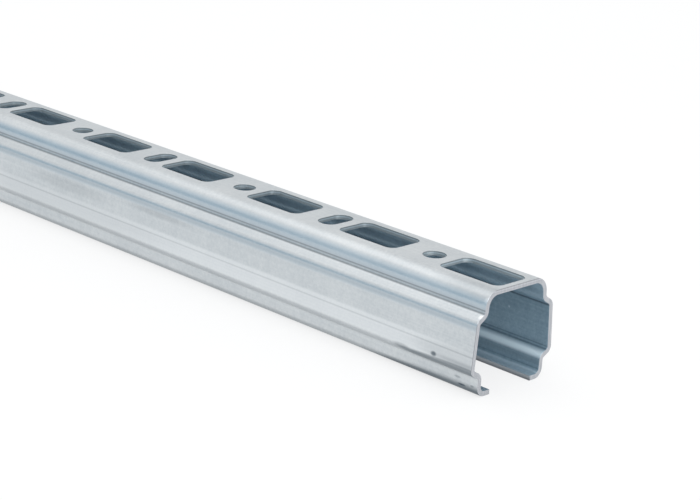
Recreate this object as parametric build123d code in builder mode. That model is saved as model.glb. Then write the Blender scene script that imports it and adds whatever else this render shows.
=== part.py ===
from build123d import *
import os

# Slotted mounting rail: one roll-formed strip of pre-galvanised steel, bent to an open C.
# It lies with its slotted back up and its mouth down, along X, and its origin is the middle
# of the footprint on the floor.  The end at +X is the one that the slot pattern starts from.

# Stock
rail_length = 2000.0
sheet_thickness = 1.9

# Section, over its outer skin: overall height, and width across the feet of the main walls
rail_height = 38.0
wall_foot_width = 42.3
mouth_width = 21.0

# Section: how far each wall stands in or leans out from the next, on one side
wall_flare = 1.3
upper_step = 3.8
upper_wall_lean = 0.45
lower_step = 4.1

# Section: depths below the back, then heights above the floor
upper_wall_depth = 7.7
upper_step_drop = 2.4
lip_wall_height = 7.1
lower_step_rise = 2.1

# Section: outside radii of the bends
back_bend_radius = 6.0
upper_inner_bend_radius = 1.6
upper_outer_bend_radius = 3.0
lower_outer_bend_radius = 3.0
lower_inner_bend_radius = 1.6
lip_bend_radius = 3.8

# Slot pattern in the back
slot_pitch = 50.0
slot_length = 28.3
slot_width = 16.4
slot_corner_radius = 3.5
end_web = 2.3

# Small holes between the slots: round and crosswise ones take turns
round_hole_diameter = 8.5
cross_slot_width = 8.5
cross_slot_length = 14.7
small_hole_shift = 2.35

# How far the punch overshoots the sheet, above and below
punch_overshoot = 1.0

# Corners of the outer skin: distances from the middle plane
wall_foot_y = wall_foot_width / 2
wall_head_y = wall_foot_y - wall_flare
upper_wall_foot_y = wall_head_y - upper_step
shoulder_y = upper_wall_foot_y - upper_wall_lean
lip_wall_y = wall_foot_y - lower_step

# Corners of the outer skin: heights
upper_wall_foot_z = rail_height - upper_wall_depth
wall_head_z = upper_wall_foot_z - upper_step_drop
wall_foot_z = lip_wall_height + lower_step_rise

# Corners of the outer skin on one side, from the back down to the mouth, and their radii
half_outline = [
    (shoulder_y, rail_height),
    (upper_wall_foot_y, upper_wall_foot_z),
    (wall_head_y, wall_head_z),
    (wall_foot_y, wall_foot_z),
    (lip_wall_y, lip_wall_height),
    (lip_wall_y, 0),
]
half_bends = [
    back_bend_radius,
    upper_inner_bend_radius,
    upper_outer_bend_radius,
    lower_outer_bend_radius,
    lower_inner_bend_radius,
    lip_bend_radius,
]
other_half_outline = [(-y, z) for y, z in reversed(half_outline)]

# Places of the long slots along the rail, worked out from the end they start at
near_end_x = rail_length / 2
far_end_x = -near_end_x
first_slot_x = near_end_x - end_web - slot_length / 2
slot_count = int((first_slot_x - slot_length / 2 - far_end_x) // slot_pitch) + 1
slot_row_middle = first_slot_x - (slot_count - 1) * slot_pitch / 2

# One round hole and one crosswise slot lie in every second gap between the long slots
small_pitch = 2 * slot_pitch
first_round_x = first_slot_x - slot_pitch / 2 + small_hole_shift
first_cross_x = first_round_x - slot_pitch
round_count = int((first_round_x - round_hole_diameter - far_end_x) // small_pitch) + 1
cross_count = int((first_cross_x - cross_slot_width - far_end_x) // small_pitch) + 1
round_row_middle = first_round_x - (round_count - 1) * small_pitch / 2
cross_row_middle = first_cross_x - (cross_count - 1) * small_pitch / 2

with BuildPart() as mounting_rail:
    # The formed strip: a closed outline thickened inwards, then parted at the mouth
    with BuildSketch(Plane.YZ.offset(far_end_x)) as section:
        with BuildLine() as outer_skin:
            FilletPolyline(
                *other_half_outline,
                *half_outline,
                radius=half_bends[::-1] + half_bends,
                close=True,
            )
        make_face()
        offset(amount=-sheet_thickness, mode=Mode.SUBTRACT)
        Rectangle(mouth_width, 2 * sheet_thickness, mode=Mode.SUBTRACT)
    extrude(amount=rail_length)

    # Punched through the flat back: the long slots, then the round and crosswise small holes
    with BuildSketch(Plane.XY.offset(rail_height + punch_overshoot)) as punches:
        with Locations((slot_row_middle, 0)):
            with GridLocations(slot_pitch, 0, slot_count, 1):
                RectangleRounded(slot_length, slot_width, slot_corner_radius)
        with Locations((round_row_middle, 0)):
            with GridLocations(small_pitch, 0, round_count, 1):
                Circle(round_hole_diameter / 2)
        with Locations((cross_row_middle, 0)):
            with GridLocations(small_pitch, 0, cross_count, 1):
                SlotOverall(cross_slot_length, cross_slot_width, rotation=90)
    extrude(amount=-(sheet_thickness + 2 * punch_overshoot), mode=Mode.SUBTRACT)

mounting_rail.part.label = "mounting_rail"

os.makedirs("parts", exist_ok=True)
export_step(mounting_rail.part, "parts/mounting_rail.step")
print("slots", slot_count, "round holes", round_count, "crosswise slots", cross_count)
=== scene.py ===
"""Slotted mounting rail: a roll-formed, pre-galvanised channel lying on a pale studio floor."""
import logging
import math
from dataclasses import dataclass, field
from enum import Enum
from itertools import cycle

import bmesh
import bpy
from mathutils import Matrix, Vector


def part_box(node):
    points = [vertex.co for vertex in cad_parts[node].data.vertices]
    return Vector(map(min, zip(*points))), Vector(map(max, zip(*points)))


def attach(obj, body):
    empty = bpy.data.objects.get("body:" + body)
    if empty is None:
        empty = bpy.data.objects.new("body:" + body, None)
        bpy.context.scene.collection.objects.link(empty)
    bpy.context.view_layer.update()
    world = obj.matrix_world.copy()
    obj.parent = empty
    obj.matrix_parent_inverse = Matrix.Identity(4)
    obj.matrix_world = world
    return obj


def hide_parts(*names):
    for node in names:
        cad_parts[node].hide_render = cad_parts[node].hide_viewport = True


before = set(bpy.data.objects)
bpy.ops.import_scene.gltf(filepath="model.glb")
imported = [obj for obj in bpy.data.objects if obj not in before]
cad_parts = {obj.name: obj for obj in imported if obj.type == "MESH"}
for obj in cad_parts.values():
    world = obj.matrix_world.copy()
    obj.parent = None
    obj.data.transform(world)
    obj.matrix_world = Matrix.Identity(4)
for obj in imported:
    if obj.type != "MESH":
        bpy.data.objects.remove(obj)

LOG = logging.getLogger("mounting_rail")
NODE = "mounting_rail"
MM = 0.001


def srgb(hex_code: str) -> tuple[float, float, float, float]:
    """Turns a colour as it is seen into the linear values that a shader takes.

    Args:
        hex_code: six hex digits of an sRGB colour.

    Returns:
        Linear red, green and blue, and an alpha of 1.
    """
    channels = [int(hex_code[i:i + 2], 16) / 255 for i in (0, 2, 4)]
    linear = [c / 12.92 if c <= 0.04045 else ((c + 0.055) / 1.055) ** 2.4 for c in channels]
    return (linear[0], linear[1], linear[2], 1.0)


def add_node(
    tree: bpy.types.NodeTree,
    kind: str,
    settings: dict[str | int, object] | None = None,
    links: dict[str | int, bpy.types.NodeSocket] | None = None,
) -> bpy.types.Node:
    """Adds one node with its settings and what feeds it.

    Args:
        tree: the node tree of a material or of the world.
        kind: the node's type, such as ShaderNodeBump.
        settings: attributes by name, and socket values by the name or number of the input.
        links: sockets that feed the node's inputs, by the input's name or number.

    Returns:
        The new node.
    """
    node = tree.nodes.new(kind)
    for name, value in (settings or {}).items():
        if isinstance(name, int) or name in node.inputs:
            node.inputs[name].default_value = value
        else:
            setattr(node, name, value)
    for name, socket in (links or {}).items():
        tree.links.new(socket, node.inputs[name])
    return node


class HoleKind(Enum):
    """The three punches that the rail's back goes through."""

    LONG_SLOT = "long slot"
    ROUND = "round hole"
    CROSS_SLOT = "crosswise slot"


@dataclass(frozen=True)
class Corner:
    """A corner of the section's outer skin: where it lies, its outer radius and its facets."""

    y: float
    z: float
    radius: float
    facets: int


@dataclass(frozen=True)
class Section:
    """Sizes of the rolled section over its outer skin, in millimetres, and its bends' facets."""

    height: float
    sheet: float = 1.9
    wall_foot_width: float = 42.3
    mouth_width: float = 21.0
    wall_flare: float = 1.3
    upper_step: float = 3.8
    upper_wall_lean: float = 0.45
    lower_step: float = 4.1
    upper_wall_depth: float = 7.7
    upper_step_drop: float = 2.4
    lip_wall_height: float = 7.1
    lower_step_rise: float = 2.1
    back_bend: float = 6.0
    inner_bend: float = 1.6
    outer_bend: float = 3.0
    lip_bend: float = 3.8
    back_bend_facets: int = 14
    inner_bend_facets: int = 7
    outer_bend_facets: int = 8
    lip_bend_facets: int = 12

    def corners(self) -> list[Corner]:
        """Works out the outer skin's corners on the +Y side.

        Returns:
            The corners, from the back down to the lip.
        """
        foot_y = self.wall_foot_width / 2
        head_y = foot_y - self.wall_flare
        neck_y = head_y - self.upper_step
        lip_wall_y = foot_y - self.lower_step
        neck_z = self.height - self.upper_wall_depth
        head_z = neck_z - self.upper_step_drop
        foot_z = self.lip_wall_height + self.lower_step_rise
        return [
            Corner(neck_y - self.upper_wall_lean, self.height, self.back_bend, self.back_bend_facets),
            Corner(neck_y, neck_z, self.inner_bend, self.inner_bend_facets),
            Corner(head_y, head_z, self.outer_bend, self.outer_bend_facets),
            Corner(foot_y, foot_z, self.outer_bend, self.outer_bend_facets),
            Corner(lip_wall_y, self.lip_wall_height, self.inner_bend, self.inner_bend_facets),
            Corner(lip_wall_y, 0.0, self.lip_bend, self.lip_bend_facets),
        ]


@dataclass(frozen=True)
class Hole:
    """One punched hole in the back: its kind, its place along the rail and its size."""

    kind: HoleKind
    x: float
    length: float
    width: float
    corner_radius: float


@dataclass(frozen=True)
class SlotPattern:
    """Sizes of the punched pattern, in millimetres, counted from the end it starts at."""

    pitch: float = 50.0
    slot_length: float = 28.3
    slot_width: float = 16.4
    slot_corner_radius: float = 3.5
    end_web: float = 2.3
    small_width: float = 8.5
    cross_length: float = 14.7
    small_shift: float = 2.35

    def hole(self, kind: HoleKind, x: float) -> Hole:
        """Gives a hole its size.

        Args:
            kind: the punch that makes it.
            x: its place along the rail.

        Returns:
            The hole.
        """
        if kind is HoleKind.LONG_SLOT:
            return Hole(kind, x, self.slot_length, self.slot_width, self.slot_corner_radius)
        width = self.small_width if kind is HoleKind.ROUND else self.cross_length
        return Hole(kind, x, self.small_width, width, self.small_width / 2)

    def holes(self, near_end: float, far_end: float) -> list[Hole]:
        """Lists the holes along the rail.

        Args:
            near_end: the x of the end where the pattern starts.
            far_end: the x of the other end.

        Returns:
            The holes in their order from the near end.
        """
        holes: list[Hole] = []
        small_kinds = cycle((HoleKind.ROUND, HoleKind.CROSS_SLOT))
        x = near_end - self.end_web - self.slot_length / 2
        while x - self.slot_length / 2 > far_end:
            holes.append(self.hole(HoleKind.LONG_SLOT, x))
            small = self.hole(next(small_kinds), x - self.pitch / 2 + self.small_shift)
            if small.x - self.small_width > far_end:
                holes.append(small)
            x -= self.pitch
        return holes


class Skin(Enum):
    """The two faces of the strip; the inner one takes its own darker, bluer greys, painted shade and cool
    light in the channel.
    """

    OUTER = "outer"
    INNER = "inner"


class PaintedLightAndWear(Enum):
    """What a mark paints on the zinc: a highlight, a reflection of the cool horizon, or shade that shares
    its colour with real soil.
    """

    # Painted highlights and glints
    PAINTED_HIGHLIGHT = "painted highlight"
    # The cool horizon's reflection, painted
    PAINTED_COOL_REFLECTION = "painted cool reflection"
    # Painted shade in the creases and bends, and real pits, smudges and patches
    SOIL_AND_PAINTED_SHADE = "soiled and painted shade"


@dataclass(frozen=True)
class BandOfLightAndWear:
    """A band along the rail, at a height in millimetres above the floor: mostly painted shade,
    a painted highlight or a painted reflection at the folds, and once a real roll line.

    Its strength is how far the zinc goes towards the colour of its kind.
    """

    height: float
    half_width: float
    strength: float
    flat_half_width: float = 0.0
    painted_light_and_wear: PaintedLightAndWear = PaintedLightAndWear.SOIL_AND_PAINTED_SHADE

    def share(self, tree: bpy.types.NodeTree, height: bpy.types.NodeSocket) -> bpy.types.NodeSocket:
        """Draws the line.

        Args:
            tree: the material's node tree.
            height: the height above the floor.

        Returns:
            The line's strength, which fades out across its width.
        """
        above = add_node(
            tree, "ShaderNodeMath", {"operation": "SUBTRACT", 1: self.height * MM}, {0: height}
        ).outputs["Value"]
        away = add_node(tree, "ShaderNodeMath", {"operation": "ABSOLUTE"}, {0: above}).outputs["Value"]
        return add_node(
            tree, "ShaderNodeMapRange",
            {"interpolation_type": "SMOOTHSTEP", "From Min": self.flat_half_width * MM,
             "From Max": self.half_width * MM, "To Min": self.strength, "To Max": 0.0},
            {"Value": away},
        ).outputs["Result"]


@dataclass(frozen=True)
class SpotOfLightAndWear:
    """A spot on the zinc, a real pit or smudge, painted shade or a painted glint: its middle, its half
    sizes and its strength.

    Its middle is counted from the near end along the rail, then as y and z, in millimetres.
    Its core is the share of its size that it fills evenly.
    """

    from_end: float
    y: float
    z: float
    half_size: tuple[float, float, float]
    strength: float
    core: float = 0.35
    painted_light_and_wear: PaintedLightAndWear = PaintedLightAndWear.SOIL_AND_PAINTED_SHADE

    def share(
        self, tree: bpy.types.NodeTree, place: bpy.types.NodeSocket, near_end: float
    ) -> bpy.types.NodeSocket:
        """Draws the spot.

        Args:
            tree: the material's node tree.
            place: the object coordinates.
            near_end: the x of the rail's near end, in millimetres.

        Returns:
            The spot's strength, which fades out from its core to its rim.
        """
        middle = ((near_end - self.from_end) * MM, self.y * MM, self.z * MM)
        size = tuple(half * MM for half in self.half_size)
        scaled = add_node(
            tree, "ShaderNodeMapping", {"vector_type": "TEXTURE", "Location": middle, "Scale": size},
            {"Vector": place},
        ).outputs["Vector"]
        away = add_node(
            tree, "ShaderNodeVectorMath", {"operation": "LENGTH"}, {0: scaled}
        ).outputs["Value"]
        return add_node(
            tree, "ShaderNodeMapRange",
            {"interpolation_type": "SMOOTHSTEP", "From Min": self.core, "From Max": 1.0,
             "To Min": self.strength, "To Max": 0.0},
            {"Value": away},
        ).outputs["Result"]


@dataclass(frozen=True)
class GalvanisedZinc:
    """Pre-galvanised steel sheet, hot-dipped and skin-passed before it was rolled.

    The zinc gives a pale, slightly blue satin grey.  The skin-pass rolls leave faint lines
    along the strip, handling leaves soft streaks across it, and the coat's reflection is
    blurred and a little uneven.  Bands along the rail paint shade at the top's edge, in the
    creases of the folds, over the step's highlight and on the bends near the floor, paint
    the cool horizon's reflection beside the upper folds, and paint highlights on the crown
    and the walls; one faint dark line is a real roll line.  Spots paint glints at the cut
    end and shade near it and farther along, beside a real pit, smudges and patches.  The
    channel's inner skin takes its own darker, bluer greys, painted shade and cool light.
    """

    skin: Skin = Skin.OUTER
    pale: str = "D5D9DB"
    cool: str = "C1C7CB"
    metallic: float = 0.92
    roughness_low: float = 0.29
    roughness_high: float = 0.40
    # Real roller lines and the grain of the coat are about 0.1 mm wide, too fine to show,
    # so both are drawn coarser
    roller_line_mm: float = 0.9
    roller_length_mm: float = 260.0
    streak_mm: float = 3.2
    streak_length_mm: float = 45.0
    cloud_mm: float = 22.0
    grain_mm: float = 1.1
    # How far each pattern takes over from those before it, and where in the sum the colours
    # and the roughness reach their ends
    cloud_share: float = 0.7
    line_share: float = 0.4
    grain_share: float = 0.35
    cool_below: float = 0.38
    pale_above: float = 0.62
    smooth_below: float = 0.3
    rough_above: float = 0.7
    line_relief: float = 0.10
    grain_relief: float = 0.08
    relief_mm: float = 0.05
    # Colours that the marks take the zinc towards: a painted highlight, the cool horizon's painted
    # reflection, and painted shade that real soil shares
    burnish: str = "F1F4F6"
    cool_reflection_colour: str = "BFD0DC"
    soil_and_shade_colour: str = "2E4250"
    marks: tuple[BandOfLightAndWear, ...] = (
        # Painted shade at the top's edge, a painted highlight on the crown, the cool horizon's painted
        # reflection on the upper wall, and painted shade in the upper crease
        BandOfLightAndWear(38.0, 0.6, 0.06),
        BandOfLightAndWear(36.0, 1.3, 0.20, painted_light_and_wear=PaintedLightAndWear.PAINTED_HIGHLIGHT),
        BandOfLightAndWear(33.4, 2.9, 0.50, 1.2, painted_light_and_wear=PaintedLightAndWear.PAINTED_COOL_REFLECTION),
        BandOfLightAndWear(31.8, 1.7, 0.18),
        BandOfLightAndWear(31.35, 0.5, 0.45),
        BandOfLightAndWear(30.3, 0.5, 0.55),
        # Painted shade over the step's highlight, the cool horizon's painted reflection under the step, and
        # painted shade below it
        BandOfLightAndWear(28.9, 1.2, 0.08),
        BandOfLightAndWear(26.2, 2.2, 0.42, 0.6, painted_light_and_wear=PaintedLightAndWear.PAINTED_COOL_REFLECTION),
        BandOfLightAndWear(25.9, 1.5, 0.22),
        # A painted highlight on the main wall, a real roll line, and painted shade on the lower bend and
        # the lip's bend
        BandOfLightAndWear(13.9, 3.9, 0.42, 2.6, painted_light_and_wear=PaintedLightAndWear.PAINTED_HIGHLIGHT),
        BandOfLightAndWear(15.4, 0.5, 0.19),
        BandOfLightAndWear(9.2, 1.7, 0.24, 0.2),
        BandOfLightAndWear(0.0, 3.6, 0.45, 1.2),
    )
    blemishes: tuple[SpotOfLightAndWear, ...] = (
        # Painted shade near the cut end: in the lower crease, on the wall above it, where the crease's
        # shade starts, at the lip's bend and over the crown's highlight
        SpotOfLightAndWear(4.0, -20.8, 9.1, (36.0, 2.5, 2.4), 0.46, 0.7),
        SpotOfLightAndWear(4.0, -20.8, 11.7, (26.0, 2.5, 1.6), 0.24, 0.1),
        SpotOfLightAndWear(0.0, -20.8, 14.0, (34.0, 3.0, 4.2), 0.16, 0.5),
        SpotOfLightAndWear(33.0, -20.8, 10.4, (5.0, 2.0, 1.2), 0.25),
        SpotOfLightAndWear(2.0, -16.0, 0.0, (62.0, 4.5, 4.8), 0.46, 0.62),
        SpotOfLightAndWear(3.0, -13.5, 37.0, (28.0, 6.0, 3.5), 0.16),
        # A pit in the zinc
        SpotOfLightAndWear(17.6, -20.9, 11.9, (1.7, 1.5, 1.2), 0.58),
        # Painted glints where the crown's bend and the upper step meet the cut end
        SpotOfLightAndWear(0.4, -15.6, 35.0, (1.6, 1.6, 1.6), 0.9, painted_light_and_wear=PaintedLightAndWear.PAINTED_HIGHLIGHT),
        SpotOfLightAndWear(0.4, -17.4, 29.2, (1.4, 1.4, 1.4), 0.9, painted_light_and_wear=PaintedLightAndWear.PAINTED_HIGHLIGHT),
        # Smudges on the lip wall, and patches on the main wall
        SpotOfLightAndWear(9.3, -17.1, 5.2, (1.9, 1.5, 0.6), 0.35),
        SpotOfLightAndWear(7.2, -17.1, 2.9, (2.4, 1.5, 0.6), 0.35),
        SpotOfLightAndWear(2.4, -17.1, 3.7, (1.2, 1.5, 0.5), 0.30),
        SpotOfLightAndWear(165.0, -20.5, 23.7, (24.0, 2.0, 1.8), 0.16),
        SpotOfLightAndWear(222.0, -20.5, 21.5, (34.0, 2.0, 3.5), 0.14),
        # Painted shade over a long stretch of the main wall, farther from the cut end
        SpotOfLightAndWear(230.0, -20.7, 13.5, (90.0, 2.0, 6.0), 0.12),
    )

    @classmethod
    def inside_painted_light(cls) -> "GalvanisedZinc":
        """Gives the coat for the channel's inner skin, with darker, bluer greys as painted shade and cool
        light.

        Returns:
            The inner skin's zinc, with its own painted light and marks.
        """
        return cls(
            # The inner skin's greys are darker and bluer than the outer skin's: painted shade and cool
            # light in the channel
            Skin.INNER, pale="96AFBE", cool="7C94A3", burnish="E2F2FA", metallic=0.6,
            roughness_low=0.52, roughness_high=0.60,
            marks=(
                # Painted light in the channel: a highlight on the upper wall, shade in the upper crease and
                # along the lower bend, a highlight on the lower step, shade on the lip wall and at its
                # bend, and a highlight low on the lip's bend
                BandOfLightAndWear(33.5, 4.8, 0.10, 3.6, painted_light_and_wear=PaintedLightAndWear.PAINTED_HIGHLIGHT),
                BandOfLightAndWear(26.6, 0.7, 0.75),
                BandOfLightAndWear(10.9, 0.4, 0.35),
                BandOfLightAndWear(10.0, 0.4, 0.45),
                BandOfLightAndWear(8.4, 1.7, 0.92, 0.4, painted_light_and_wear=PaintedLightAndWear.PAINTED_HIGHLIGHT),
                BandOfLightAndWear(5.6, 1.8, 0.32),
                BandOfLightAndWear(3.4, 0.4, 0.30),
                BandOfLightAndWear(1.9, 1.0, 0.25, 0.3, painted_light_and_wear=PaintedLightAndWear.PAINTED_HIGHLIGHT),
            ),
            blemishes=(
                # A painted highlight standing for a small raised dot on the far wall
                SpotOfLightAndWear(18.4, 18.6, 20.7, (0.6, 1.5, 0.6), 0.4, painted_light_and_wear=PaintedLightAndWear.PAINTED_HIGHLIGHT),
                # Painted shade on the near lip's inner face at the cut end
                SpotOfLightAndWear(0.0, -13.0, 2.5, (14.0, 5.0, 2.0), 0.36),
            ),
        )

    def painted_light_and_wear_share(
        self, tree: bpy.types.NodeTree, place: bpy.types.NodeSocket, near_end: float, painted_light_and_wear: PaintedLightAndWear
    ) -> bpy.types.NodeSocket | None:
        """Adds up the bands and spots of one kind of painted light and soil.

        Args:
            tree: the material's node tree.
            place: the object coordinates.
            near_end: the x of the rail's near end, in millimetres.
            painted_light_and_wear: the kind of wear to take.

        Returns:
            A number that is 0 away from these marks, or None without any such mark.
        """
        height = add_node(tree, "ShaderNodeSeparateXYZ", {}, {"Vector": place}).outputs["Z"]
        shares = [mark.share(tree, height) for mark in self.marks if mark.painted_light_and_wear is painted_light_and_wear]
        shares += [spot.share(tree, place, near_end) for spot in self.blemishes if spot.painted_light_and_wear is painted_light_and_wear]
        total = shares[0] if shares else None
        for share in shares[1:]:
            total = add_node(
                tree, "ShaderNodeMath", {"operation": "ADD"}, {0: total, 1: share}
            ).outputs["Value"]
        return total

    def build(self, near_end: float) -> bpy.types.Material:
        """Makes the material.

        Args:
            near_end: the x of the rail's near end, in millimetres.

        Returns:
            The zinc coat's material.
        """
        material = bpy.data.materials.new(f"pre_galvanised_zinc_{self.skin.value}")
        material.use_nodes = True
        tree = material.node_tree
        tree.nodes.clear()
        place = add_node(tree, "ShaderNodeTexCoord").outputs["Object"]

        # Faint lines that the rolls drew along the strip
        per_line, per_length = 1 / (self.roller_line_mm * MM), 1 / (self.roller_length_mm * MM)
        along = add_node(
            tree, "ShaderNodeMapping", {"Scale": (per_length, per_line, per_line)}, {"Vector": place}
        ).outputs["Vector"]
        lines = add_node(
            tree, "ShaderNodeTexNoise", {"Scale": 1.0, "Detail": 3.0, "Roughness": 0.6}, {"Vector": along}
        ).outputs["Fac"]

        # Soft streaks that run across the strip, down its walls
        per_streak, per_run = 1 / (self.streak_mm * MM), 1 / (self.streak_length_mm * MM)
        across = add_node(
            tree, "ShaderNodeMapping", {"Scale": (per_streak, per_run, per_run)}, {"Vector": place}
        ).outputs["Vector"]
        streaks = add_node(
            tree, "ShaderNodeTexNoise", {"Scale": 1.0, "Detail": 4.0, "Roughness": 0.55}, {"Vector": across}
        ).outputs["Fac"]

        # Broad clouds in the coat and its fine grain
        clouds = add_node(
            tree, "ShaderNodeTexNoise",
            {"Scale": 1 / (self.cloud_mm * MM), "Detail": 3.0, "Roughness": 0.5},
            {"Vector": place},
        ).outputs["Fac"]
        grain = add_node(
            tree, "ShaderNodeTexNoise",
            {"Scale": 1 / (self.grain_mm * MM), "Detail": 2.0, "Roughness": 0.6},
            {"Vector": place},
        ).outputs["Fac"]

        # All four together choose between the coat's two greys
        tone = streaks
        layers = ((clouds, self.cloud_share), (lines, self.line_share), (grain, self.grain_share))
        for pattern, share in layers:
            tone = add_node(
                tree, "ShaderNodeMix", {"data_type": "FLOAT", "Factor": share}, {"A": tone, "B": pattern}
            ).outputs["Result"]
        colour = add_node(tree, "ShaderNodeValToRGB", {}, {"Fac": tone})
        greys = ((self.cool_below, self.cool), (self.pale_above, self.pale))
        for stop, (position, grey) in zip(colour.color_ramp.elements, greys):
            stop.position = position
            stop.color = srgb(grey)

        # Each kind of mark takes the zinc towards its own colour: a painted highlight, a painted cool
        # reflection, or painted shade together with soil
        finish = colour.outputs["Color"]
        targets = ((PaintedLightAndWear.PAINTED_HIGHLIGHT, self.burnish), (PaintedLightAndWear.PAINTED_COOL_REFLECTION, self.cool_reflection_colour), (PaintedLightAndWear.SOIL_AND_PAINTED_SHADE, self.soil_and_shade_colour))
        for painted_light_and_wear, target in targets:
            share = self.painted_light_and_wear_share(tree, place, near_end, painted_light_and_wear)
            if share is not None:
                finish = add_node(
                    tree, "ShaderNodeMixRGB", {"Color2": srgb(target)}, {"Fac": share, "Color1": finish}
                ).outputs["Color"]

        roughness = add_node(
            tree, "ShaderNodeMapRange",
            {"From Min": self.smooth_below, "From Max": self.rough_above,
             "To Min": self.roughness_low, "To Max": self.roughness_high},
            {"Value": tone},
        ).outputs["Result"]

        relief = add_node(
            tree, "ShaderNodeBump", {"Strength": self.line_relief, "Distance": self.relief_mm * MM},
            {"Height": lines},
        ).outputs["Normal"]
        relief = add_node(
            tree, "ShaderNodeBump", {"Strength": self.grain_relief, "Distance": self.relief_mm * MM},
            {"Height": grain, "Normal": relief},
        ).outputs["Normal"]

        shader = add_node(
            tree, "ShaderNodeBsdfPrincipled", {"Metallic": self.metallic},
            {"Base Color": finish, "Roughness": roughness, "Normal": relief},
        )
        add_node(tree, "ShaderNodeOutputMaterial", {}, {"Surface": shader.outputs["BSDF"]})
        return material


@dataclass(frozen=True)
class ShearedSteel:
    """Bare steel where a punch, a shear or a slitter went through the sheet.

    It gives the eye a satin grey with fine lines across the sheet.  From the outer skin
    inwards, a sheared edge is rolled over, then burnished by the tool, and then torn and
    dull past a fine dark line.  The strip's own slit edges, which are the rims of the two
    lips, are painted a dark grey that pales upwards: painted shade, darkest next to the floor.
    """

    bright: str = "C9CACE"
    dull: str = "B4B7BC"
    punched: str = "CCD8DE"
    # The slit edges' dark greys are painted shade, darkest next to the floor
    slit: str = "6E7277"
    slit_top: str = "9DA3A8"
    metallic: float = 0.5
    roughness: float = 0.42
    # The tool's own scratches are too fine to show, so they are drawn coarser
    line_mm: float = 0.8
    line_stretch: float = 0.15
    dull_below: float = 0.30
    bright_above: float = 0.70
    relief: float = 0.15
    relief_mm: float = 0.04
    # Where the slit edges lie, and the heights between which their painted shade gets paler
    slit_half_width: float = 10.8
    slit_height: float = 2.6
    shade_dark_below: float = 0.5
    shade_pale_above: float = 1.5
    # Depths in the sheet, from 0 to 1, each with the share of the light that is left there
    end_zones: tuple[tuple[float, float], ...] = (
        (0.0, 0.62), (0.16, 0.62), (0.24, 1.0), (0.44, 1.0), (0.54, 0.76), (0.66, 0.90),
    )
    hole_zones: tuple[tuple[float, float], ...] = (
        (0.0, 0.50), (0.22, 0.50), (0.30, 1.0), (0.46, 1.0), (0.60, 0.68),
    )
    end_band: float = 1.0

    @staticmethod
    def depth(
        tree: bpy.types.NodeTree,
        height: bpy.types.NodeSocket,
        aside: bpy.types.NodeSocket,
        section: Section,
    ) -> bpy.types.NodeSocket:
        """Measures how deep in the sheet a point of the back's or a main wall's edge lies.

        Args:
            tree: the material's node tree.
            height: the height above the floor.
            aside: the distance from the middle plane.
            section: the sizes of the section.

        Returns:
            0 at the outer skin and 1 at the inner one.
        """
        head, foot = section.corners()[2:4]
        lean = (foot.y - head.y) / (head.z - foot.z)
        below_back = add_node(
            tree, "ShaderNodeMath", {"operation": "SUBTRACT", 0: section.height * MM}, {1: height}
        ).outputs["Value"]
        wall = add_node(
            tree, "ShaderNodeMath",
            {"operation": "MULTIPLY_ADD", 1: -lean, 2: (foot.y + lean * foot.z) * MM},
            {0: height},
        ).outputs["Value"]
        in_wall = add_node(
            tree, "ShaderNodeMath", {"operation": "SUBTRACT"}, {0: wall, 1: aside}
        ).outputs["Value"]
        is_wall = add_node(
            tree, "ShaderNodeMath", {"operation": "GREATER_THAN", 1: section.sheet * MM}, {0: below_back}
        ).outputs["Value"]
        chosen = add_node(
            tree, "ShaderNodeMix", {"data_type": "FLOAT"},
            {"Factor": is_wall, "A": below_back, "B": in_wall},
        ).outputs["Result"]
        return add_node(
            tree, "ShaderNodeMath", {"operation": "DIVIDE", 1: section.sheet * MM}, {0: chosen}
        ).outputs["Value"]

    @staticmethod
    def zones(
        tree: bpy.types.NodeTree, depth: bpy.types.NodeSocket, stops: tuple[tuple[float, float], ...]
    ) -> bpy.types.NodeSocket:
        """Shades a cut across the sheet.

        Args:
            tree: the material's node tree.
            depth: how deep in the sheet a point lies, from 0 to 1.
            stops: the zones' depths, each with the share of the light that it keeps.

        Returns:
            The grey that the steel's colour is multiplied by.
        """
        shade = add_node(tree, "ShaderNodeValToRGB", {}, {"Fac": depth})
        # A new ramp has a stop at either end
        ramp = shade.color_ramp
        for element, (_, light) in zip(ramp.elements, (stops[0], stops[-1])):
            element.color = (light, light, light, 1.0)
        for position, light in stops[1:]:
            ramp.elements.new(position).color = (light, light, light, 1.0)
        return shade.outputs["Color"]

    def build(self, section: Section, half_length: float) -> bpy.types.Material:
        """Makes the material.

        Args:
            section: the sizes of the section.
            half_length: half the rail's length, in millimetres.

        Returns:
            The cut edges' material.
        """
        material = bpy.data.materials.new("sheared_steel_edge")
        material.use_nodes = True
        tree = material.node_tree
        tree.nodes.clear()
        place = add_node(tree, "ShaderNodeTexCoord").outputs["Object"]
        per_line = 1 / (self.line_mm * MM)
        across = add_node(
            tree, "ShaderNodeMapping", {"Scale": (per_line, per_line, per_line * self.line_stretch)},
            {"Vector": place},
        ).outputs["Vector"]
        lines = add_node(
            tree, "ShaderNodeTexNoise", {"Scale": 1.0, "Detail": 2.0}, {"Vector": across}
        ).outputs["Fac"]
        colour = add_node(tree, "ShaderNodeValToRGB", {}, {"Fac": lines})
        greys = ((self.dull_below, self.dull), (self.bright_above, self.bright))
        for stop, (position, grey) in zip(colour.color_ramp.elements, greys):
            stop.position = position
            stop.color = srgb(grey)

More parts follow.
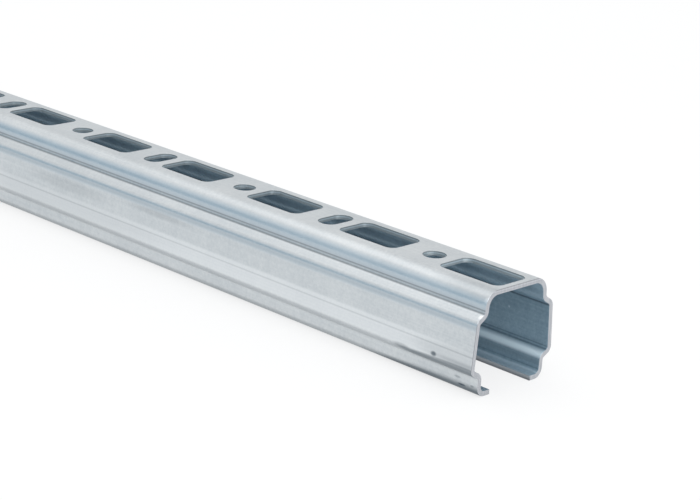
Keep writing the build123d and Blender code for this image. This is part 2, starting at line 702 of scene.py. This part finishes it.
        # The punched edges lie in the back, away from the two ends
        axes = add_node(tree, "ShaderNodeSeparateXYZ", {}, {"Vector": place})
        height = axes.outputs["Z"]
        aside, along = (
            add_node(
                tree, "ShaderNodeMath", {"operation": "ABSOLUTE"}, {0: axes.outputs[axis]}
            ).outputs["Value"]
            for axis in ("Y", "X")
        )
        inner = add_node(
            tree, "ShaderNodeMath",
            {"operation": "LESS_THAN", 1: (half_length - self.end_band) * MM},
            {0: along},
        ).outputs["Value"]
        high = add_node(
            tree, "ShaderNodeMath",
            {"operation": "GREATER_THAN", 1: (section.height - 2 * section.sheet) * MM},
            {0: height},
        ).outputs["Value"]
        in_hole = add_node(
            tree, "ShaderNodeMath", {"operation": "MULTIPLY"}, {0: inner, 1: high}
        ).outputs["Value"]
        steel = add_node(
            tree, "ShaderNodeMixRGB", {"Color2": srgb(self.punched)},
            {"Fac": in_hole, "Color1": colour.outputs["Color"]},
        ).outputs["Color"]

        # Across the sheet: rolled over, burnished, a dark line, then torn
        depth = self.depth(tree, height, aside, section)
        light = add_node(
            tree, "ShaderNodeMixRGB", {},
            {"Fac": in_hole, "Color1": self.zones(tree, depth, self.end_zones),
             "Color2": self.zones(tree, depth, self.hole_zones)},
        ).outputs["Color"]
        cut = add_node(
            tree, "ShaderNodeMixRGB", {"blend_type": "MULTIPLY", "Fac": 1.0},
            {"Color1": steel, "Color2": light},
        ).outputs["Color"]

        # The slit edges are the only rims that lie this low and this near the middle
        low = add_node(
            tree, "ShaderNodeMath", {"operation": "LESS_THAN", 1: self.slit_height * MM}, {0: height}
        ).outputs["Value"]
        inward = add_node(
            tree, "ShaderNodeMath", {"operation": "LESS_THAN", 1: self.slit_half_width * MM}, {0: aside}
        ).outputs["Value"]
        slit = add_node(
            tree, "ShaderNodeMath", {"operation": "MULTIPLY"}, {0: low, 1: inward}
        ).outputs["Value"]
        rise = add_node(
            tree, "ShaderNodeMapRange",
            {"From Min": self.shade_dark_below * MM, "From Max": self.shade_pale_above * MM},
            {"Value": height},
        ).outputs["Result"]
        # Painted shade on the slit edges, darker low and paler higher up
        slit_shade = add_node(
            tree, "ShaderNodeMixRGB", {"Color1": srgb(self.slit), "Color2": srgb(self.slit_top)},
            {"Fac": rise},
        ).outputs["Color"]
        finish = add_node(
            tree, "ShaderNodeMixRGB", {}, {"Fac": slit, "Color1": cut, "Color2": slit_shade}
        ).outputs["Color"]

        relief = add_node(
            tree, "ShaderNodeBump", {"Strength": self.relief, "Distance": self.relief_mm * MM},
            {"Height": lines},
        ).outputs["Normal"]
        shader = add_node(
            tree, "ShaderNodeBsdfPrincipled", {"Metallic": self.metallic, "Roughness": self.roughness},
            {"Base Color": finish, "Normal": relief},
        )
        add_node(tree, "ShaderNodeOutputMaterial", {}, {"Surface": shader.outputs["BSDF"]})
        return material


@dataclass
class MountingRail:
    """The one rolled strip: its punched back, its folded walls and lips, and its cut edges.

    Its lengths are in millimetres and its angle in degrees.
    """

    near_end: float
    far_end: float
    section: Section
    pattern: SlotPattern = field(default_factory=SlotPattern)
    zinc: GalvanisedZinc = field(default_factory=GalvanisedZinc)
    inner_zinc_painted_light: GalvanisedZinc = field(default_factory=GalvanisedZinc.inside_painted_light)
    sheared: ShearedSteel = field(default_factory=ShearedSteel)
    hole_facets: int = 32
    edge_round: float = 0.22
    edge_segments: int = 2
    sharp_angle: float = 50.0
    # Points nearer to each other than this are one
    weld: float = 0.001

    def back_half_width(self) -> float:
        """Half the width of the flat back, up to where its bends begin."""
        shoulder, neck = self.section.corners()[:2]
        return shoulder.y - self.tangent_length(Vector((1, 0)), shoulder, neck)

    @staticmethod
    def tangent_length(heading: Vector, corner: Corner, after: Corner) -> float:
        """How far before a corner its bend begins.

        Args:
            heading: the direction in which the skin comes to the corner, as y and z.
            corner: the corner itself.
            after: the next corner.

        Returns:
            The distance from the corner to where its arc starts.
        """
        onward = Vector((after.y - corner.y, after.z - corner.z)).normalized()
        return corner.radius * math.tan(heading.angle(onward) / 2)

    def punch(self, sheet: bmesh.types.BMesh, hole: Hole, start: float, end: float) -> None:
        """Makes the stretch of flat back around one hole.

        Args:
            sheet: the bmesh that the strip grows in.
            hole: the hole to leave open.
            start: the x where this stretch starts.
            end: the x where it ends.
        """
        # A plate of unit size is stretched over this part of the back, and only its rim is kept
        size = Matrix.Diagonal((start - end, 2 * self.back_half_width(), 1.0, 1.0))
        place = Matrix.Translation(((start + end) / 2, 0.0, self.section.height))
        plate = bmesh.ops.create_grid(
            sheet, x_segments=1, y_segments=1, size=0.5, matrix=place @ size
        )["verts"]
        bmesh.ops.delete(sheet, geom=plate[0].link_faces[:], context="FACES_ONLY")

        # A ring of facets is pulled apart at its quadrants into the punch's rounded outline
        half_facet = math.pi / self.hole_facets
        ring = bmesh.ops.create_circle(
            sheet, cap_ends=False, segments=self.hole_facets,
            radius=hole.corner_radius / math.cos(half_facet), matrix=Matrix.Rotation(half_facet, 4, "Z"),
        )["verts"]
        pull_x = hole.length / 2 - hole.corner_radius
        pull_y = hole.width / 2 - hole.corner_radius
        for vert in ring:
            vert.co.x += math.copysign(pull_x, vert.co.x)
            vert.co.y += math.copysign(pull_y, vert.co.y)
        bmesh.ops.translate(sheet, verts=ring, vec=(hole.x, 0.0, self.section.height))

        # Each edge is taken once, and always in the same order
        rims = list(dict.fromkeys(e for v in plate + ring for e in v.link_edges))
        bmesh.ops.triangle_fill(sheet, use_beauty=True, edges=rims, normal=(0.0, 0.0, 1.0))

    def fold(self, sheet: bmesh.types.BMesh, side: int) -> None:
        """Rolls one side of the strip, from the flat back to the lip's edge.

        Args:
            sheet: the bmesh that holds the punched back.
            side: 1 for the side at +Y, -1 for the other.
        """
        border_y = side * self.back_half_width()
        border = [
            e for e in sheet.edges
            if e.is_boundary and all(abs(v.co.y - border_y) < self.weld for v in e.verts)
        ]
        corners = self.section.corners()
        lip_edge = Corner(self.section.mouth_width / 2, 0.0, 0.0, 0)
        at = Vector((self.back_half_width(), self.section.height))
        heading = Vector((1.0, 0.0))
        for corner, after in zip(corners, corners[1:] + [lip_edge]):
            reach = self.tangent_length(heading, corner, after)
            start = Vector((corner.y, corner.z)) - heading * reach
            border = self.extend(sheet, border, side, start - at)
            onward = Vector((after.y - corner.y, after.z - corner.z)).normalized()
            turn = heading.angle_signed(onward)
            inward = Vector((heading.y, -heading.x)) * math.copysign(1.0, turn)
            centre = start + inward * corner.radius
            rolled = bmesh.ops.spin(
                sheet, geom=border, cent=(0.0, side * centre.x, centre.y), axis=(1.0, 0.0, 0.0),
                dvec=(0.0, 0.0, 0.0), angle=-side * turn, steps=corner.facets, use_merge=False,
                use_normal_flip=False, use_duplicate=False,
            )["geom_last"]
            border = [e for e in rolled if isinstance(e, bmesh.types.BMEdge)]
            at = Vector((corner.y, corner.z)) + onward * reach
            heading = onward
        self.extend(sheet, border, side, Vector((lip_edge.y, lip_edge.z)) - at)

    def extend(
        self, sheet: bmesh.types.BMesh, border: list[bmesh.types.BMEdge], side: int, step: Vector
    ) -> list[bmesh.types.BMEdge]:
        """Grows a flat stretch of the strip from its border.

        Args:
            sheet: the bmesh that the strip grows in.
            border: the edges to grow from.
            side: 1 for the side at +Y, -1 for the other.
            step: how far the flat goes, as y and z on the +Y side.

        Returns:
            The new border's edges.
        """
        if step.length < self.weld:
            return border
        grown = bmesh.ops.extrude_edge_only(sheet, edges=border)["geom"]
        verts = [v for v in grown if isinstance(v, bmesh.types.BMVert)]
        bmesh.ops.translate(sheet, verts=verts, vec=(0.0, side * step.x, step.y))
        moved = set(verts)
        return [e for e in grown if isinstance(e, bmesh.types.BMEdge) and moved.issuperset(e.verts)]

    def form(self) -> bmesh.types.BMesh:
        """Forms the strip's outer skin: the back is punched, and then both sides are rolled.

        Returns:
            The skin, in metres, with its normals outward.
        """
        sheet = bmesh.new()
        holes = self.pattern.holes(self.near_end, self.far_end)
        for kind in HoleKind:
            LOG.info("%s: %d", kind.value, sum(hole.kind is kind for hole in holes))
        starts = [self.near_end]
        for before, hole in zip(holes, holes[1:]):
            starts.append(((before.x - before.length / 2) + (hole.x + hole.length / 2)) / 2)
        ends = starts[1:] + [self.far_end]
        for hole, start, end in zip(holes, starts, ends):
            self.punch(sheet, hole, start, end)
        bmesh.ops.remove_doubles(sheet, verts=list(sheet.verts), dist=self.weld)
        for side in (1, -1):
            self.fold(sheet, side)
        bmesh.ops.recalc_face_normals(sheet, faces=list(sheet.faces))
        top = max(sheet.faces, key=lambda f: f.calc_center_median().z)
        if top.normal.z < 0:
            bmesh.ops.reverse_faces(sheet, faces=list(sheet.faces))
        bmesh.ops.scale(sheet, vec=(MM, MM, MM), verts=list(sheet.verts))
        self.put_in_order(sheet)
        return sheet

    @staticmethod
    def put_in_order(sheet: bmesh.types.BMesh) -> None:
        """Sorts edges and faces by their vertices, so that every run gives the same mesh.

        Args:
            sheet: the bmesh, whose operators leave edges and faces in an order that varies.
        """
        sheet.verts.index_update()
        for parts in (sheet.edges, sheet.faces):
            ordered = sorted(parts, key=lambda part: sorted(v.index for v in part.verts))
            for index, part in enumerate(ordered):
                part.index = index
            parts.sort()

    def dress(self, mesh: bpy.types.Mesh) -> None:
        """Gives the strip its materials: the outer skin's, the cut edges' and the inner skin's.

        Args:
            mesh: the strip's mesh.
        """
        half_length = (self.near_end - self.far_end) / 2
        mesh.materials.append(self.zinc.build(self.near_end))
        mesh.materials.append(self.sheared.build(self.section, half_length))
        mesh.materials.append(self.inner_zinc_painted_light.build(self.near_end))

    def thicken(self, rail: bpy.types.Object) -> None:
        """Grows the sheet inwards from its outer skin, and rounds its cut edges.

        Its rims take the second material and its inner skin the third.

        Args:
            rail: the strip's object.
        """
        wall = rail.modifiers.new("sheet_thickness", "SOLIDIFY")
        wall.thickness = self.section.sheet * MM
        wall.offset = -1.0
        wall.use_even_offset = True
        wall.use_quality_normals = True
        wall.material_offset_rim = 1
        wall.material_offset = 2
        edges = rail.modifiers.new("edge_round", "BEVEL")
        edges.width = self.edge_round * MM
        edges.segments = self.edge_segments
        edges.limit_method = "ANGLE"
        edges.angle_limit = math.radians(self.sharp_angle)
        edges.use_clamp_overlap = True
        shading = rail.modifiers.new("flat_shading", "WEIGHTED_NORMAL")
        shading.keep_sharp = True

    def build(self) -> bpy.types.Object:
        """Makes the rail in place of its CAD node.

        Returns:
            The finished object.
        """
        sheet = self.form()
        mesh = bpy.data.meshes.new("rolled_strip")
        sheet.to_mesh(mesh)
        sheet.free()
        mesh.shade_smooth()
        rail = bpy.data.objects.new("rolled_strip", mesh)
        bpy.context.scene.collection.objects.link(rail)
        self.dress(mesh)
        self.thicken(rail)
        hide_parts(NODE)
        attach(rail, "root")
        return rail


@dataclass(frozen=True)
class PhotoCamera:
    """The camera, placed from the near end of the rail as the photograph was taken.

    Its angles are in degrees, its distances and its sensor in millimetres, and what it sees
    nearest and farthest in metres.
    """

    azimuth: float = 44.169
    elevation: float = 17.853
    roll: float = 3.433
    distance: float = 742.87
    sideways: float = -56.075
    upward: float = 33.415
    target_height: float = 15.0
    focal_pixels: float = 2156.9
    picture_width: float = 700.0
    sensor_width: float = 36.0
    nearest: float = 0.01
    farthest: float = 50.0

    def build(self, near_end: float) -> bpy.types.Object:
        """Makes the scene's camera.

        Args:
            near_end: the x of the rail's cut end that faces the camera.

        Returns:
            The camera object.
        """
        azimuth, elevation, roll = (math.radians(a) for a in (self.azimuth, self.elevation, self.roll))
        back = Vector((
            math.sin(azimuth) * math.cos(elevation),
            -math.cos(azimuth) * math.cos(elevation),
            math.sin(elevation),
        ))
        level = Vector((0.0, 0.0, 1.0)).cross(back).normalized()
        upright = back.cross(level)
        right = level * math.cos(roll) + upright * math.sin(roll)
        up = upright * math.cos(roll) - level * math.sin(roll)
        target = Vector((near_end, 0.0, self.target_height))
        place = target + right * self.sideways + up * self.upward + back * self.distance
        data = bpy.data.cameras.new("photo_camera")
        data.sensor_width = self.sensor_width
        data.lens = self.focal_pixels * self.sensor_width / self.picture_width
        data.clip_start = self.nearest
        data.clip_end = self.farthest
        camera = bpy.data.objects.new("photo_camera", data)
        turn = Matrix((right, up, back)).transposed().to_4x4()
        camera.matrix_world = Matrix.Translation(place * MM) @ turn
        bpy.context.scene.collection.objects.link(camera)
        bpy.context.scene.camera = camera
        return camera


@dataclass(frozen=True)
class SoftLamp:
    """A soft box: where it hangs, where it points, its two sides and its power."""

    name: str
    place: tuple[float, float, float]
    aim: tuple[float, float, float]
    width: float
    height: float
    watts: float

    def build(self) -> bpy.types.Object:
        """Hangs the lamp.

        Returns:
            The lamp object.
        """
        data = bpy.data.lights.new(self.name, "AREA")
        data.shape = "RECTANGLE"
        data.size = self.width
        data.size_y = self.height
        data.energy = self.watts
        lamp = bpy.data.objects.new(self.name, data)
        lamp.location = self.place
        toward = Vector(self.aim) - Vector(self.place)
        lamp.rotation_euler = toward.to_track_quat("-Z", "Y").to_euler()
        bpy.context.scene.collection.objects.link(lamp)
        return lamp


@dataclass(frozen=True)
class MattPaint:
    """The floor's pale matt paint, which gives the eye a soft white with hardly any sheen.

    Where the floor is seen, its glow lifts the white, and leaves part of the shadow.
    """

    colour: str = "F4F5F6"
    roughness: float = 0.9
    specular: float = 0.1
    glow: float = 0.75

    def build(self) -> bpy.types.Material:
        """Makes the material.

        Returns:
            The floor's material.
        """
        material = bpy.data.materials.new("pale_matt_floor")
        material.use_nodes = True
        tree = material.node_tree
        tree.nodes.clear()
        paint = add_node(
            tree, "ShaderNodeBsdfPrincipled",
            {"Base Color": srgb(self.colour), "Roughness": self.roughness,
             "Specular IOR Level": self.specular},
        )
        white = add_node(tree, "ShaderNodeEmission", {"Strength": 1.0})
        rays = add_node(tree, "ShaderNodeLightPath")
        seen = rays.outputs["Is Camera Ray"]
        for kind in ("Is Glossy Ray", "Is Transmission Ray"):
            seen = add_node(
                tree, "ShaderNodeMath", {"operation": "MAXIMUM"}, {0: seen, 1: rays.outputs[kind]}
            ).outputs["Value"]
        share = add_node(
            tree, "ShaderNodeMath", {"operation": "MULTIPLY", 1: self.glow}, {0: seen}
        ).outputs["Value"]
        look = add_node(
            tree, "ShaderNodeMixShader", {},
            {0: share, 1: paint.outputs["BSDF"], 2: white.outputs["Emission"]},
        )
        add_node(tree, "ShaderNodeOutputMaterial", {}, {"Surface": look.outputs["Shader"]})
        return material


@dataclass(frozen=True)
class Studio:
    """A pale floor under a soft sky, and soft lamps.  Its sizes are in metres.

    The sky is white overhead and a cool grey near the horizon, like the walls of a studio,
    and it whitens sooner behind the rail.
    """

    overhead_colour: str = "FFFFFF"
    horizon_colour: str = "99B6C6"
    horizon_height: float = 0.10
    overhead_height: float = 0.45
    behind_lift: float = 0.3
    sky_strength: float = 0.95
    floor_half: float = 12.0
    paint: MattPaint = MattPaint()
    lamps: tuple[SoftLamp, ...] = (
        SoftLamp("overhead_box", (0.4, -0.4, 2.0), (0.9, 0.0, 0.0), 2.4, 2.0, 7.0),
        SoftLamp("front_box", (2.4, -0.8, 1.2), (0.9, 0.0, 0.0), 1.0, 0.8, 10.0),
    )

    def lay_floor(self) -> None:
        """Lays the floor."""
        plane = bmesh.new()
        bmesh.ops.create_grid(plane, x_segments=1, y_segments=1, size=self.floor_half)
        mesh = bpy.data.meshes.new("studio_floor")
        plane.to_mesh(mesh)
        plane.free()
        mesh.materials.append(self.paint.build())
        floor = bpy.data.objects.new("studio_floor", mesh)
        bpy.context.scene.collection.objects.link(floor)

    def light_sky(self) -> None:
        """Lights the sky, whose shade goes by height and by how far it lies behind the rail."""
        world = bpy.data.worlds.new("studio_sky")
        world.use_nodes = True
        tree = world.node_tree
        tree.nodes.clear()
        heading = add_node(tree, "ShaderNodeTexCoord").outputs["Generated"]
        axes = add_node(tree, "ShaderNodeSeparateXYZ", {}, {"Vector": heading})
        behind = add_node(
            tree, "ShaderNodeMath", {"operation": "MAXIMUM", 1: 0.0}, {0: axes.outputs["Y"]}
        ).outputs["Value"]
        height = add_node(
            tree, "ShaderNodeMath", {"operation": "MULTIPLY_ADD", 1: self.behind_lift},
            {0: behind, 2: axes.outputs["Z"]},
        ).outputs["Value"]
        shade = add_node(tree, "ShaderNodeValToRGB", {}, {"Fac": height})
        shade.color_ramp.interpolation = "EASE"
        greys = (
            (self.horizon_height, self.horizon_colour),
            (self.overhead_height, self.overhead_colour),
        )
        for stop, (position, grey) in zip(shade.color_ramp.elements, greys):
            stop.position = position
            stop.color = srgb(grey)
        sky = add_node(
            tree, "ShaderNodeBackground", {"Strength": self.sky_strength}, {"Color": shade.outputs["Color"]}
        )
        add_node(tree, "ShaderNodeOutputWorld", {}, {"Surface": sky.outputs["Background"]})
        bpy.context.scene.world = world

    def build(self) -> None:
        """Lays the floor, lights the sky and hangs the lamps."""
        self.lay_floor()
        self.light_sky()
        for lamp in self.lamps:
            lamp.build()
        bpy.context.scene.view_settings.view_transform = "Standard"


def main() -> None:
    """Builds the camera, the rail and the studio, in this order."""
    logging.basicConfig(level=logging.INFO)
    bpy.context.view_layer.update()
    low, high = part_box(NODE)
    near_end, far_end = high.x / MM, low.x / MM
    PhotoCamera().build(near_end)
    LOG.info("camera placed")
    rail = MountingRail(near_end, far_end, Section(height=high.z / MM)).build()
    LOG.info("%s: %d faces before its modifiers", rail.name, len(rail.data.polygons))
    Studio().build()
    LOG.info("studio lit")
    LOG.info("boxes written")


if __name__ == "__main__":
    main()
